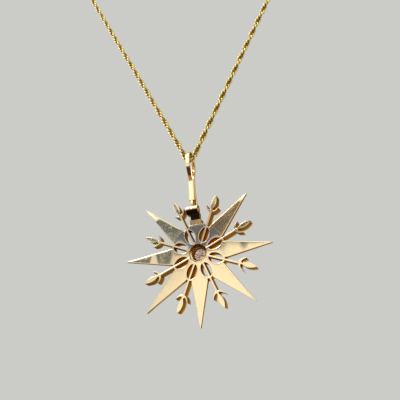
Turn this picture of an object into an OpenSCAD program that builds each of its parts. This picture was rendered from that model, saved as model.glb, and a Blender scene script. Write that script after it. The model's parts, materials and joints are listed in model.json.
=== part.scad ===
// Starburst pendant with a centre diamond, on a long hinged bail and a whole rope chain.
// The origin is the nape of the neck, at the clasp. +Z is up and the pendant hangs to the -Y side.
// The star's reverse faces -Y and its front faces +Y.

/* [Star] */
// Distance from the centre to the point of an even spear ray
spear_reach = 15; // [12:0.5:18]
// Distance from the centre to a spear's widest place
spear_shoulder = 5.77; // [5.6:0.01:6.2]
// Half the width of a spear at its widest place
spear_half_w = 1.63; // [1.3:0.01:1.8]
// Depth of the plate from the reverse to the front
plate_depth = 2; // [1.6:0.1:2.4]
// Depth of the plate at a spear's point
tip_depth = 0.8; // [0.5:0.1:1.2]
// Depth of a spear's edge at its widest place
edge_depth = 0.9; // [0.6:0.1:1.6]
// Distance from the centre to the point of an even bud
bud_reach = 12.1; // [11:0.1:13]
// Distance from the centre to the foot of an even bud
bud_foot = 9.2; // [8.6:0.1:9.6]
// Half the width of a bud
bud_half_w = 0.5; // [0.35:0.05:0.6]
// Width of a bud's stem
stem_w = 0.36; // [0.25:0.01:0.5]
// How far a barb's point stands to the side of its stem
barb_side = 1.25; // [0.9:0.05:1.5]
// Distance from the centre to a barb's point
barb_reach = 9.75; // [9.2:0.05:10.2]

/* [Pierced centre] */
// Distance from the centre to the near end of an oval opening
oval_near = 2.25; // [2.2:0.05:2.5]
// Distance from the centre to the far end of an oval opening
oval_far = 5.35; // [5:0.05:5.5]
// Half the width of an oval opening
oval_half_w = 1.02; // [0.8:0.02:1.1]
// Width of the metal rim round an oval opening
oval_rim = 0.32; // [0.2:0.02:0.4]

/* [Collet and stone] */
// Outer radius of the collet
collet_r = 2.1; // [2:0.05:2.3]
// Radius of the collet's open back
collet_back_r = 1.62; // [1.5:0.02:1.7]
// How far the bezel stands above the front of the plate
bezel_h = 0.4; // [0.2:0.05:0.6]
// Diameter of the stone
stone_d = 3; // [2.8:0.05:3.05]

/* [Hinge] */
// Height of the hinge pin above the centre of the star
pin_h = 9.36; // [9.2:0.01:9.6]
// How far the star's centre stands to the side of the hinge's middle
star_side = 0.9; // [0:0.05:0.9]
// Outer radius of a knuckle
knuckle_r = 0.95; // [0.8:0.05:1.05]
// Length of the whole barrel
barrel_len = 2.1; // [2:0.1:2.7]
// Length of the middle knuckle
middle_len = 0.66; // [0.6:0.02:0.9]
// Radius of the hinge pin
pin_r = 0.3; // [0.25:0.01:0.35]

/* [Bail] */
// Height of the chain's centre above the hinge pin
chain_h = 11.55; // [11:0.01:12.5]
// Gap between the chain's centre and the inside of the bail's arch
arch_gap = 0.82; // [0.8:0.01:1]
// Inner radius of the bail's arch
arch_r = 1.65; // [1.4:0.05:1.9]
// Thickness of the bail's strip
strip_t = 0.45; // [0.35:0.05:0.55]
// Width of the strip at the arch
arch_w = 0.85; // [0.7:0.05:0.9]
// Width of the strip at the shank
shank_w = 1.3; // [1.1:0.05:1.5]
// Height of the pinched waist above the hinge pin
waist_h = 6.9; // [6.5:0.1:7.5]

/* [Chain] */
// Length of the whole loop with its clasp
loop_len = 457; // [406:1:508]
// Thickness of the chain
chain_d = 1; // [0.8:0.05:1]
// Half the angle between the two strands at the pendant
v_half = 25.5; // [22:0.1:30]
// Radius of the chain's bend inside the bail
bend_r = 1.1; // [1.1:0.05:1.4]
// How far the lower part of the loop leans back
lean_low = 7.4; // [0:0.1:15]
// How far the upper part of the loop leans back
lean_high = 56; // [45:1:70]
// Length of the leaning front stretch before the loop turns back
front_len = 60; // [40:1:70]
// Radius of the turn over the shoulders
turn_r = 60; // [50:1:80]

/* [Clasp] */
// Outer diameter of the clasp's ring
ring_d = 5.6; // [5:0.1:7]
// Thickness of the clasp's ring
ring_t = 1.2; // [1:0.1:1.5]
// Length of each end cap
cap_len = 2.4; // [2:0.1:3]

/* [Hidden] */

gold = "goldenrod";
ray_count = 8;
ray_step = 360 / ray_count;
half_depth = plate_depth / 2;
// gap round a part that turns, and round one that is set fast
running_gap = 0.05;
seat_gap = 0.01;
// how far joined shapes reach into each other, and how far a cut runs past what it cuts
weld = 0.2;
over = 1;
// thinnest slice
thin = 0.02;

// The rays are sawn by hand. How much longer each one is than an even ray, and how far its point
// is turned from its even place: the spears from the short top one, the buds from the next.
spear_more = [0, 0.4, 0.3, 0.25, -0.6, 0, -0.3, 0];
spear_turn = [0, 0, -1.4, -1.8, -1.3, 0, 0, 0.2];
bud_more = [0.15, -0.15, 0.2, 0, 0, 0, -0.15, 0];
bud_turn = [-0.4, -1.2, -0.7, -0.8, 0, 1.4, 1.5, 1.2];

// The loop laid flat: two straight strands that touch a circle, with a small bend at the pendant.
v_rad = v_half * PI / 180;
ring_r = (loop_len + bend_r * (2 / tan(v_half) - PI + 2 * v_rad))
    / (2 / tan(v_half) + PI + 2 * v_rad);
bend_half = bend_r * (PI / 2 - v_rad);
strand_from = bend_r / tan(v_half);
strand_len = ring_r / tan(v_half) - strand_from;
arc_half = ring_r * (PI / 2 + v_rad);
clasp_half = ring_d / 2 + cap_len;

// Centre line of the flat loop at a length l from the pendant, as [sideways, up from the sharp V].
function flat_bend(l) = let(a = l / bend_r * 180 / PI)
    [bend_r * sin(a), bend_r / sin(v_half) - bend_r * cos(a)];
function flat_strand(l) = let(t = strand_from + l - bend_half) [t * sin(v_half), t * cos(v_half)];
function flat_arc(l) = let(a = (l - bend_half - strand_len) / ring_r * 180 / PI - v_half)
    [ring_r * cos(a), ring_r / sin(v_half) + ring_r * sin(a)];
function flat(l) = l < bend_half ? flat_bend(l)
    : l < bend_half + strand_len ? flat_strand(l) : flat_arc(l);

// The flat loop leans back, turns over the shoulders and then leans back further. Lengths stay true.
turn_len = turn_r * (lean_high - lean_low) * PI / 180;
turn_end = front_len + turn_len;
function lean_at(s) = lean_low + (s - front_len) / turn_r * 180 / PI;
function back(s) = s < front_len ? s * sin(lean_low)
    : s < turn_end ? front_len * sin(lean_low) + turn_r * (cos(lean_low) - cos(lean_at(s)))
    : front_len * sin(lean_low) + turn_r * (cos(lean_low) - cos(lean_high))
        + (s - turn_end) * sin(lean_high);
function rise(s) = s < front_len ? s * cos(lean_low)
    : s < turn_end ? front_len * cos(lean_low) + turn_r * (sin(lean_at(s)) - sin(lean_low))
    : front_len * cos(lean_low) + turn_r * (sin(lean_high) - sin(lean_low))
        + (s - turn_end) * cos(lean_high);

// The nape is the top of the flat loop, and the origin.
loop_top = ring_r / sin(v_half) + ring_r;
nape_y = back(loop_top);
nape_z = rise(loop_top);
vertex_s = bend_r / sin(v_half) - bend_r;
hang_y = back(vertex_s) - nape_y;
vertex_z = rise(vertex_s) - nape_z;
pin_z = vertex_z - chain_h;
star_z = pin_z - pin_h;

// Side is 1 for one side of the neck and -1 for the other.
function route(l, side) = let(p = flat(l)) [side * p[0], back(p[1]) - nape_y, rise(p[1]) - nape_z];

bend_steps = 4;
strand_steps = 16;
arc_steps = 17;
arc_start = bend_half + strand_len;
arc_end = arc_start + arc_half - clasp_half;
half_marks = concat(
    [for (i = [0 : bend_steps - 1]) bend_half * i / bend_steps],
    [for (i = [0 : strand_steps - 1]) bend_half + strand_len * i / strand_steps],
    [for (i = [0 : arc_steps]) arc_start + (arc_end - arc_start) * i / arc_steps]);
mark_count = len(half_marks);
path = concat(
    [for (i = [mark_count - 1 : -1 : 1]) route(half_marks[i], -1)],
    [for (i = [0 : mark_count - 1]) route(half_marks[i], 1)]);

// A tube swept along points. Each ring of corners lies square to the way on, and starts from one
// side direction that is carried along and kept square.
function unit(v) = v / norm(v);
function square_to(v, t) = unit(v - (v * t) * t);
function heading(points, i) = unit(points[min(i + 1, len(points) - 1)] - points[max(i - 1, 0)]);
function sides(points, start) = [
    for (i = 0, v = square_to(start, heading(points, 0)); i < len(points);
        i = i + 1, v = i < len(points) ? square_to(v, heading(points, i)) : v) v];

first_side = [0, 1, 0.2];
module tube(points, r, n) {
    count = len(points);
    side = sides(points, first_side);
    corners = [for (i = [0 : count - 1], k = [0 : n - 1])
        let(t = heading(points, i), u = side[i], w = cross(t, u), a = 360 * k / n)
        points[i] + r * (cos(a) * u + sin(a) * w)];
    first_end = [for (k = [0 : n - 1]) k];
    last_end = [for (k = [n - 1 : -1 : 0]) (count - 1) * n + k];
    walls = [for (i = [0 : count - 2], k = [0 : n - 1])
        [i * n + k, (i + 1) * n + k, (i + 1) * n + (k + 1) % n, i * n + (k + 1) % n]];
    polyhedron(corners, concat([first_end], walls, [last_end]), convexity = 10);
}

// Outlines in the plane of the star, with the ray pointing along +Y.
oval_points = 24;
oval_mid = (oval_near + oval_far) / 2;
oval_half_l = (oval_far - oval_near) / 2;
function oval(grow) = [for (i = [0 : oval_points - 1]) let(a = 360 * i / oval_points)
    [(oval_half_w + grow) * sin(a), oval_mid + (oval_half_l + grow) * cos(a)]];

// Down each side, a spear runs from its end to its shoulder, to the middle of the next oval and to
// its foot at the collet. The ovals are cut out of it later.
spear_foot_half = 0.34;
function spear_point(k) = (spear_reach + spear_more[k]) * [-sin(spear_turn[k]), cos(spear_turn[k])];
next_oval = oval_mid * [sin(ray_step / 2), cos(ray_step / 2)];
module spear_outline(end) {
    polygon(concat(end, [[spear_half_w, spear_shoulder], next_oval, [spear_foot_half, collet_r - weld],
        [-spear_foot_half, collet_r - weld], [-next_oval[0], next_oval[1]],
        [-spear_half_w, spear_shoulder]]));
}

bud_points = 10;
// fullness of a bud, and how far its widest place lies toward the foot
bud_full = 0.75;
bud_low = 0.85;
function bud_half(t) = max(bud_half_w * pow(sin(180 * pow(t, bud_low)), bud_full), thin);
module bud_outline(more) {
    bud_len = bud_reach - bud_foot + more / 2;
    foot = bud_foot + more / 2;
    polygon(concat(
        [for (i = [0 : bud_points]) let(t = i / bud_points) [bud_half(t), foot + t * bud_len]],
        [for (i = [bud_points : -1 : 0]) let(t = i / bud_points) [-bud_half(t), foot + t * bud_len]]));
}

// A barb leaves the stem, swings outward and ends in a point: a tapered band along a curve.
barb_points = 7;
barb_foot = 8.7;
barb_foot_half = 0.23;
barb_point_half = 0.03;
barb_swing = 1.3;
function barb_mid(t) = [barb_side * (barb_swing * t + (1 - barb_swing) * t * t),
    barb_foot + (barb_reach - barb_foot) * t * t];
function barb_across(t) = let(d = unit(barb_mid(t + thin) - barb_mid(t - thin))) [-d[1], d[0]];
function barb_half(t) = barb_foot_half + (barb_point_half - barb_foot_half) * t;
module barb_outline() {
    polygon(concat(
        [for (i = [0 : barb_points]) let(t = i / barb_points) barb_mid(t) - barb_half(t) * barb_across(t)],
        [for (i = [barb_points : -1 : 0]) let(t = i / barb_points)
            barb_mid(t) + barb_half(t) * barb_across(t)]));
}

module bud_ray_outline(more) {
    stem_end = bud_foot + more / 2 + weld;
    translate([-stem_w / 2, collet_r - weld]) square([stem_w, stem_end - collet_r + weld]);
    bud_outline(more);
    translate([0, more / 2]) {
        barb_outline();
        mirror([1, 0]) barb_outline();
    }
}

// The short ray ends under the hinge.
short_reach = pin_h - knuckle_r - 0.7;
short_half_w = spear_half_w * (spear_reach - short_reach) / (spear_reach - spear_shoulder);

// A spear's front is a low roof. Its ridge runs level to the shoulder and slopes to the thin point,
// and two facets fall from it to the edges.
ridge_fall = (plate_depth - edge_depth) / spear_half_w;
module spear(k) {
    point = spear_point(k);
    foot_top = half_depth - ridge_fall * next_oval[0];
    edge_top = edge_depth - half_depth;
    polyhedron([
        [point[0], point[1], -half_depth], [point[0], point[1], tip_depth - half_depth],
        [spear_half_w, spear_shoulder, -half_depth], [spear_half_w, spear_shoulder, edge_top],
        [next_oval[0], next_oval[1], -half_depth], [next_oval[0], next_oval[1], foot_top],
        [0, next_oval[1], half_depth],
        [-next_oval[0], next_oval[1], foot_top], [-next_oval[0], next_oval[1], -half_depth],
        [-spear_half_w, spear_shoulder, edge_top], [-spear_half_w, spear_shoulder, -half_depth],
        [0, spear_shoulder, half_depth]],
        [[11, 1, 3], [11, 9, 1], [6, 11, 3, 5], [6, 7, 9, 11], [8, 4, 2, 0, 10], [3, 1, 0, 2],
            [1, 9, 10, 0], [5, 3, 2, 4], [9, 7, 8, 10], [7, 6, 5, 4, 8]], convexity = 2);
}

// The foot of a spear, between two ovals, at full depth.
module spear_foot() {
    polygon([[next_oval[0], next_oval[1] + weld], [spear_foot_half, collet_r - weld],
        [-spear_foot_half, collet_r - weld], [-next_oval[0], next_oval[1] + weld]]);
}

// The plate stands in the XZ plane, its reverse to -Y.
module upright() {
    translate([star_side, hang_y, star_z]) rotate([90, 0, 0]) mirror([0, 0, 1]) children();
}

// Full depth of the plate.
module deep() {
    translate([0, 0, -half_depth]) linear_extrude(plate_depth) children();
}

module cut_through() {
    translate([0, 0, -half_depth - over]) linear_extrude(plate_depth + 2 * over) children();
}

module plate() {
    difference() {
        union() {
            for (k = [1 : ray_count - 1]) rotate(k * ray_step) {
                spear(k);
                deep() spear_foot();
            }
            deep() spear_outline([[-short_half_w, short_reach], [short_half_w, short_reach]]);
            for (k = [0 : ray_count - 1]) rotate((k + 0.5) * ray_step) deep() polygon(oval(oval_rim));
        }
        for (k = [0 : ray_count - 1]) rotate((k + 0.5) * ray_step) cut_through() polygon(oval(0));
        cut_through() circle(r = collet_r - weld / 2, $fn = 48);
    }
    for (k = [0 : ray_count - 1]) rotate((k + 0.5) * ray_step + bud_turn[k]) deep()
        bud_ray_outline(bud_more[k]);
}

// The collet is turned: an open back, a seat under the girdle and a bezel rim lipped over it.
girdle_z = half_depth - 0.18;
girdle_t = 0.08;
stone_r = stone_d / 2;
stone_gap = 0.02;
seat_r = stone_r - 0.18;
seat_drop = 0.2;
lip_from = 0.36;
lip_in = 0.1;
bezel_top = half_depth + bezel_h;
bezel_edge = 0.1;
module collet() {
    rotate_extrude($fn = 64) polygon([
        [collet_r, -half_depth], [collet_r, bezel_top - bezel_edge],
        [collet_r - 2 * bezel_edge, bezel_top], [stone_r - lip_in, bezel_top],
        [stone_r + stone_gap, girdle_z + lip_from], [stone_r + stone_gap, girdle_z - stone_gap],
        [seat_r, girdle_z - seat_drop], [seat_r, girdle_z - 2 * seat_drop],
        [collet_back_r, -half_depth]]);
}

// Two outer knuckles stand on a yoke across the end of the short ray, with a slot between them for
// the middle one.
outer_len = (barrel_len - middle_len) / 2 - running_gap;
yoke_depth = 1.4;
yoke_top = pin_h - knuckle_r - 2 * running_gap;
yoke_foot = short_reach - weld;
module outer_knuckles() {
    translate([-star_side, 0, 0]) {
        translate([-barrel_len / 2, yoke_foot, -yoke_depth / 2])
            cube([barrel_len, yoke_top - yoke_foot, yoke_depth]);
        for (side = [-1, 1]) translate([side * (barrel_len - outer_len) / 2, 0, 0]) difference() {
            union() {
                translate([0, pin_h, 0]) rotate([0, 90, 0])
                    cylinder(h = outer_len, r = knuckle_r, center = true, $fn = 48);
                translate([-outer_len / 2, yoke_top - weld, -yoke_depth / 2])
                    cube([outer_len, pin_h - yoke_top + weld, yoke_depth]);
            }
            translate([0, pin_h, 0]) rotate([0, 90, 0])
                cylinder(h = outer_len + 2 * over, r = pin_r + seat_gap, center = true, $fn = 48);
        }
    }
}

module star() {
    color(gold) upright() {
        plate();
        collet();
        outer_knuckles();
    }
}

// A round brilliant: table, crown, girdle and pavilion as the hull of its corner rings.
girdle_sides = 16;
table_sides = 8;
table_r = 0.57 * stone_r;
crown_h = 0.15 * stone_d;
pavilion_h = 0.43 * stone_d;
module brilliant() {
    hull() {
        translate([0, 0, girdle_z + girdle_t]) cylinder(h = thin, r = stone_r, $fn = girdle_sides);
        translate([0, 0, girdle_z]) cylinder(h = thin, r = stone_r, $fn = girdle_sides);
        translate([0, 0, girdle_z + girdle_t + crown_h - thin])
            rotate(360 / girdle_sides / 2) cylinder(h = thin, r = table_r, $fn = table_sides);
        translate([0, 0, girdle_z - pavilion_h]) cylinder(h = thin, r = thin, $fn = table_sides);
    }
}

module centre_diamond() {
    color("lightcyan") upright() brilliant();
}

pin_proud = 0.05;
module hinge_pin() {
    color(gold) translate([0, hang_y, pin_z]) rotate([0, 90, 0])
        cylinder(h = barrel_len + 2 * pin_proud, r = pin_r, center = true, $fn = 48);
}

// Side outline of the bail's loop, as [back, up from the pin]: a round arch whose sides run
// straight down to a foot.
arch_top = chain_h + arch_gap;
arch_mid = arch_top - arch_r;
arch_points = 28;
function drop(r, foot_half, foot_h) = let(
        reach = norm([foot_half, arch_mid - foot_h]),
        start = atan(foot_half / (arch_mid - foot_h)) + acos(r / reach) - 90)
    concat(
        [for (i = [0 : arch_points]) let(a = start + (180 - 2 * start) * i / arch_points)
            [r * cos(a), arch_mid + r * sin(a)]],
        [[-foot_half, foot_h], [foot_half, foot_h]]);

// Heights above the pin: the near arm's butt end, the parting of the two arms on the near side and
// on the far side, and the loop's inner foot.
butt_h = 2.05;
part_near_h = 4.6;
part_far_h = 5.4;
loop_foot_h = waist_h + 0.45;
module bail_side() {
    difference() {
        polygon(drop(arch_r + strip_t, strip_t, waist_h));
        polygon(drop(arch_r, thin, loop_foot_h));
    }
    // near arm down to its butt end
    translate([-strip_t, butt_h]) square([strip_t + thin, waist_h - butt_h + thin]);
    // far arm, which leaves the near one and runs down behind the middle knuckle
    polygon([[0, waist_h + thin], [strip_t, waist_h + thin], [strip_t, part_far_h],
        [knuckle_r, knuckle_r], [knuckle_r, 0], [knuckle_r - strip_t, 0],
        [knuckle_r - strip_t, knuckle_r], [0, part_near_h]]);
}

// Widths of the bail from the front: narrow at the arch, wide down the shank, stepped in at the
// butt to the width of the middle knuckle.
flare_from_h = waist_h + 2;
flare_to_h = waist_h - 0.6;
step_from_h = butt_h - 0.1;
step_to_h = butt_h - 0.6;
module bail_front() {
    half_top = arch_w / 2;
    half_low = shank_w / 2;
    half_mid = middle_len / 2;
    polygon([[half_top, arch_top + over], [half_top, flare_from_h], [half_low, flare_to_h],
        [half_low, step_from_h], [half_mid, step_to_h], [half_mid, -over],
        [-half_mid, -over], [-half_mid, step_to_h], [-half_low, step_from_h],
        [-half_low, flare_to_h], [-half_top, flare_from_h], [-half_top, arch_top + over]]);
}

// The neck joins the near arm's butt to the middle knuckle.
neck_w = 0.6;
module bail() {
    color(gold) translate([0, hang_y, pin_z]) difference() {
        union() {
            intersection() {
                rotate([90, 0, 90]) translate([0, 0, -shank_w]) linear_extrude(2 * shank_w) bail_side();
                rotate([90, 0, 0]) translate([0, 0, -2 * arch_r]) linear_extrude(4 * arch_r) bail_front();
            }
            rotate([0, 90, 0]) cylinder(h = middle_len, r = knuckle_r, center = true, $fn = 48);
            translate([-neck_w / 2, running_gap - strip_t, 0])
                cube([neck_w, strip_t, butt_h + weld]);
        }
        rotate([0, 90, 0])
            cylinder(h = middle_len + 2 * over, r = pin_r + running_gap, center = true, $fn = 48);
    }
}

chain_sides = 8;
module chain() {
    color("darkgoldenrod") tube(path, chain_d / 2, chain_sides);
}

// The clasp lies flat in the upper part of the loop, with an end cap on each side that points at
// the chain's end.
cap_gap = 0.08;
cap_r = chain_d / 2 + 0.1;
cap_drop = clasp_half / ring_r / 2 * 180 / PI;
module clasp() {
    wire_r = ring_t / 2;
    color(gold) rotate([90 - lean_high, 0, 0]) {
        rotate_extrude($fn = 48) translate([ring_d / 2 - wire_r, 0]) circle(r = wire_r, $fn = 24);
        for (side = [-1, 1]) rotate(-side * cap_drop) rotate([0, side * 90, 0])
            translate([0, 0, ring_d / 2 - wire_r])
                cylinder(h = cap_len + wire_r - cap_gap, r = cap_r, $fn = 32);
    }
}

star();
centre_diamond();
hinge_pin();
bail();
chain();
clasp();
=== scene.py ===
# %% [markdown]
# # A pierced starburst pendant on its rope chain
# The pendant is a small gold star, sawn and filed from thick plate, with one diamond in a round
# collet. It hangs by a three-knuckle hinge from a long bail, and the bail rides on a fine rope
# chain. The photograph shows its reverse. The CAD frame gives every place, so this lesson only
# makes the skin that the eye sees: soft filed edges, twisted rope links, a cut stone.

import json
import math

import bmesh
import bpy
import numpy as np
from mathutils import Matrix, Vector


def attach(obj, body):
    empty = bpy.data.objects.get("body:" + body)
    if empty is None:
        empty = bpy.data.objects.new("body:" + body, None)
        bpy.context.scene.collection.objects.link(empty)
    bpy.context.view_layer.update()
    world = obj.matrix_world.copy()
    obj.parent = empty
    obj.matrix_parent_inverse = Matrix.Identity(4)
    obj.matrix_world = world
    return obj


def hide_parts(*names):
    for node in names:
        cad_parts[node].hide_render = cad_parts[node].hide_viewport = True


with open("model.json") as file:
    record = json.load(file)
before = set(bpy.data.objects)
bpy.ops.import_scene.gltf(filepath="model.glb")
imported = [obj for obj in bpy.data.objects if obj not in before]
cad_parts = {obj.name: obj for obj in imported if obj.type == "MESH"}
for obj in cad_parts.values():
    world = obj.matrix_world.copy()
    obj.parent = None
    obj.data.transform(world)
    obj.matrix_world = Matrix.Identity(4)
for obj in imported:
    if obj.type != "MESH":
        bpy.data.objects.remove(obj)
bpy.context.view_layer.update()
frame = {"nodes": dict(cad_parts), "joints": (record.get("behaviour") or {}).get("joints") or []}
print("CAD pieces:", sorted(frame["nodes"]))

# %% [markdown]
# The frame is in metres and a jeweller thinks in millimetres. All sizes below are therefore in
# millimetres and become metres in one place, when a mesh is made. The hinge places come from the
# joints, so that the skin stays on the parts that move.

# %% Places and the plate's depth, in millimetres
MM = 0.001
joint_place = {j["name"]: np.array(j["pos_m"]) / MM for j in frame["joints"]}
chain_place, pin_place = joint_place["bail_swing"], joint_place["star_swing"]
star_side, pin_height = 0.9, 9.36
star_place = pin_place + [star_side, 0.0, -pin_height]
half_depth = 1.0
print("star centre at", star_place.round(3), "mm, pin at", pin_place.round(3), "mm")

# %% [markdown]
# ## Camera
# The photograph was taken close, from below and a little to the right, with the camera turned by
# a few degrees. A camera can be moved by hand until the picture fits. Here its place was fitted
# to the points of the rays, so it is given by angles and a distance from a point near the hinge.

# %% Camera at the photograph's place
view_azimuth, view_elevation = math.radians(17.95), math.radians(-21.55)
view_roll, view_distance = math.radians(-3.39), 121.2
aim = pin_place + [1.64, 0.0, 1.93]
image_width, focal_px, sensor_mm = 400, 600, 36.0

to_camera = Vector((math.sin(view_azimuth) * math.cos(view_elevation),
                    -math.cos(view_azimuth) * math.cos(view_elevation), math.sin(view_elevation)))
level_right = Vector((math.cos(view_azimuth), math.sin(view_azimuth), 0))
level_up = to_camera.cross(level_right)
right = math.cos(view_roll) * level_right + math.sin(view_roll) * level_up
up = math.cos(view_roll) * level_up - math.sin(view_roll) * level_right

lens = bpy.data.cameras.new("camera")
lens.sensor_width, lens.lens = sensor_mm, sensor_mm * focal_px / image_width
lens.clip_start, lens.clip_end = 0.001, 10
camera = bpy.data.objects.new("camera", lens)
bpy.context.scene.collection.objects.link(camera)
place = Matrix((right, up, to_camera)).transposed().to_4x4()
place.translation = (Vector(aim) + view_distance * to_camera) * MM
camera.matrix_world = place
bpy.context.scene.camera = camera
print("camera at", [round(c, 4) for c in place.translation], "m")

# %% [markdown]
# ## From numbers to a mesh
# These parts could be modelled by hand with loops and bevels. Here every part is a sheet of
# points, rows along it and columns round it, because a sheet worked out as one array is quick to
# change. One that closes round the part and has a lid at each end is a solid shell without holes.

# %% Sheets and shells
def sheet_faces(rows, columns, round_rows=False):
    """Four-sided faces of a sheet whose columns run round the piece: each joins a point to the
    next column and the next row. With round_rows the last row also joins the first."""
    i, j = np.meshgrid(np.arange(rows if round_rows else rows - 1), np.arange(columns), indexing="ij")
    ni, nj = (i + 1) % rows, (j + 1) % columns
    corners = [i * columns + j, i * columns + nj, ni * columns + nj, ni * columns + j]
    return np.stack(corners, -1).reshape(-1, 4)


def shell(sheet):
    """A closed shell from a sheet of points: its sheet faces and a lid on each end."""
    rows, columns = sheet.shape[:2]
    lids = [list(range(columns))[::-1], list(range((rows - 1) * columns, rows * columns))]
    return sheet.reshape(-1, 3), sheet_faces(rows, columns).tolist() + lids


def joined(shells):
    """Several shells as one: the points one after the other, and the faces counted on."""
    points, faces, start = [], [], 0
    for p, f in shells:
        points.append(p)
        faces += [[start + i for i in face] for face in f]
        start += len(p)
    return np.concatenate(points), faces


print("a sheet of 3 rows and 4 columns has", len(sheet_faces(3, 4)), "faces")

# %% [markdown]
# A mesh becomes a piece of the pendant when it has a finish and a body to ride on, and the solid
# that it stands for is hidden. The faces could be ordered so that each looks outward, but Blender
# finds the outside of a closed shell by itself, which is safer.

# %% Pieces
def turn_outward(mesh):
    """Turns every shell's faces outward."""
    work = bmesh.new()
    work.from_mesh(mesh)
    bmesh.ops.recalc_face_normals(work, faces=work.faces)
    work.to_mesh(mesh)
    work.free()


def make_piece(name, shells, material, body, node, sharp=40):
    """Puts shells, given in millimetres, into one mesh with its faces outward, and dresses it."""
    points, faces = joined(shells)
    mesh = bpy.data.meshes.new(name)
    mesh.from_pydata((points * MM).tolist(), [], faces)
    turn_outward(mesh)
    mesh.shade_smooth()
    mesh.set_sharp_from_angle(angle=math.radians(sharp))
    piece = bpy.data.objects.new(name, mesh)
    bpy.context.scene.collection.objects.link(piece)
    mesh.materials.append(material)
    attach(piece, body)
    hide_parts(node)
    print(f"{name}: {len(points)} points, {len(faces)} faces")
    return piece


def stood(points, centre=star_place):
    """Star coordinates (right, up, toward the front) as places in the frame, where the front is +Y."""
    return points[..., [0, 2, 1]] + centre


print("5 mm up the star is", stood(np.array([0.0, 5.0, 0.0])).round(2))

# %% [markdown]
# ## Shader maths in plain Python
# A node tree is only arithmetic. It can be drawn by hand, but a long one is hard to read. A small
# class that wraps a socket lets `1 - mask` or `grain * 0.3 + 0.2` add the Math nodes by itself,
# and one method makes any other node.

# %% Sockets that can be added and multiplied
class Socket:
    """One output of a node. Arithmetic on it adds Math nodes."""

    def __init__(self, paint, output):
        self.paint, self.output = paint, output

    def math(self, operation, first, second):
        """A Math node on two values."""
        return self.paint.node("ShaderNodeMath", {"operation": operation}, {0: first, 1: second})

    def __add__(self, other):
        return self.math("ADD", self, other)

    def __radd__(self, other):
        return self.math("ADD", other, self)

    def __sub__(self, other):
        return self.math("SUBTRACT", self, other)

    def __rsub__(self, other):
        return self.math("SUBTRACT", other, self)

    def __mul__(self, other):
        return self.math("MULTIPLY", self, other)

    def __rmul__(self, other):
        return self.math("MULTIPLY", other, self)


print("arithmetic that adds nodes:", [n for n in vars(Socket) if n[-5:-2] in ("add", "sub", "mul")])

# %% [markdown]
# Every other node comes from one method: its kind, its settings, then the values or links of its
# sockets. Each kind could have a method of its own, but only a few are wanted so often that a
# short name helps: mixing two colours, a soft step, and a value without its sign.

# %% A tree that nodes are added to
class Paint:
    """A node tree of a material or of the world."""

    def __init__(self, owner):
        owner.use_nodes = True
        self.tree = owner.node_tree
        self.tree.nodes.clear()

    def node(self, kind, settings=None, inputs=None, out=0):
        """Adds a node: its settings first, then the values or links of its sockets."""
        node = self.tree.nodes.new(kind)
        for name, value in (settings or {}).items():
            setattr(node, name, value)
        for key, value in (inputs or {}).items():
            if isinstance(value, Socket):
                self.tree.links.new(value.output, node.inputs[key])
            else:
                node.inputs[key].default_value = value
        return Socket(self, node.outputs[out]) if len(node.outputs) else node

    def mix(self, factor, first, second):
        """Blends two colours."""
        first, second = [c if isinstance(c, Socket) else (*c, 1) for c in (first, second)]
        return self.node("ShaderNodeMix", {"data_type": "RGBA"}, {0: factor, 6: first, 7: second}, out=2)

    def ramp(self, value, low, high):
        """Soft step of a value: 0 at low, 1 at high."""
        return self.node("ShaderNodeMapRange", {"interpolation_type": "SMOOTHSTEP"},
                         {0: value, 1: low, 2: high})

    def size(self, value):
        """The value without its sign."""
        return self.node("ShaderNodeMath", {"operation": "ABSOLUTE"}, {0: value})


print("short names for nodes:", [name for name in vars(Paint) if name[0] != "_"])

# %% [markdown]
# ### Patterns on a surface
# Scratches, dents and tarnish could be painted images. Noise in the metal's own coordinates needs
# no image, has no seam, and stays on the piece when it moves. A scratch is the thin line along
# which a stretched noise passes its middle value.

# %% Finishes and their patterns
class Finish(Paint):
    """The material of a piece, with patterns in object coordinates."""

    def __init__(self, name):
        self.material = bpy.data.materials.new(name)
        super().__init__(self.material)

    def place(self, scale=(1, 1, 1), turn=0.0, shift=(0, 0, 0)):
        """Object coordinates, first turned about Y, then stretched and moved."""
        where = self.node("ShaderNodeTexCoord", out="Object")
        where = self.node("ShaderNodeMapping", {"vector_type": "POINT"},
                          {"Vector": where, "Rotation": (0, turn, 0)})
        return self.node("ShaderNodeMapping", {"vector_type": "POINT"},
                         {"Vector": where, "Location": shift, "Scale": scale})

    def noise(self, scale, detail=2.0, roughness=0.5, where=None):
        """Cloudy noise from 0 to 1; scale says how many clouds lie on a metre."""
        return self.node("ShaderNodeTexNoise", {}, {"Vector": where or self.place(), "Scale": scale,
                                                    "Detail": detail, "Roughness": roughness})

    def lines(self, scale, turn, width):
        """Thin curved lines: |noise - 1/2| is under width, broken up by a coarser noise."""
        wave = self.noise(scale, 1.0, where=self.place((0.02, 1, 1), turn))
        broken = self.ramp(self.noise(scale * 0.2, 1.0), 0.5, 0.62)
        return self.ramp(self.size(wave - 0.5), width, 0.0) * broken

    def radius(self, centre):
        """Distance from the axis along Y through a place: sqrt(x^2 + z^2)."""
        where = self.place((1, 0, 1), shift=(-centre[0], 0, -centre[2]))
        return self.node("ShaderNodeVectorMath", {"operation": "LENGTH"}, {0: where}, out="Value")

    def attribute(self, name):
        """A number stored on the points of the mesh."""
        return self.node("ShaderNodeAttribute", {"attribute_name": name}, out="Fac")

    def bump(self, height, distance, strength):
        """A relief: height times distance, in metres."""
        return self.node("ShaderNodeBump", {}, {"Height": height, "Distance": distance,
                                                "Strength": strength})

    def surface(self, inputs):
        """Ends the tree in a Principled shader and gives the material."""
        shader = self.node("ShaderNodeBsdfPrincipled", {}, inputs)
        self.node("ShaderNodeOutputMaterial", {}, {0: shader})
        return self.material


print("patterns:", [name for name in vars(Finish) if name[0] != "_"])
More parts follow.
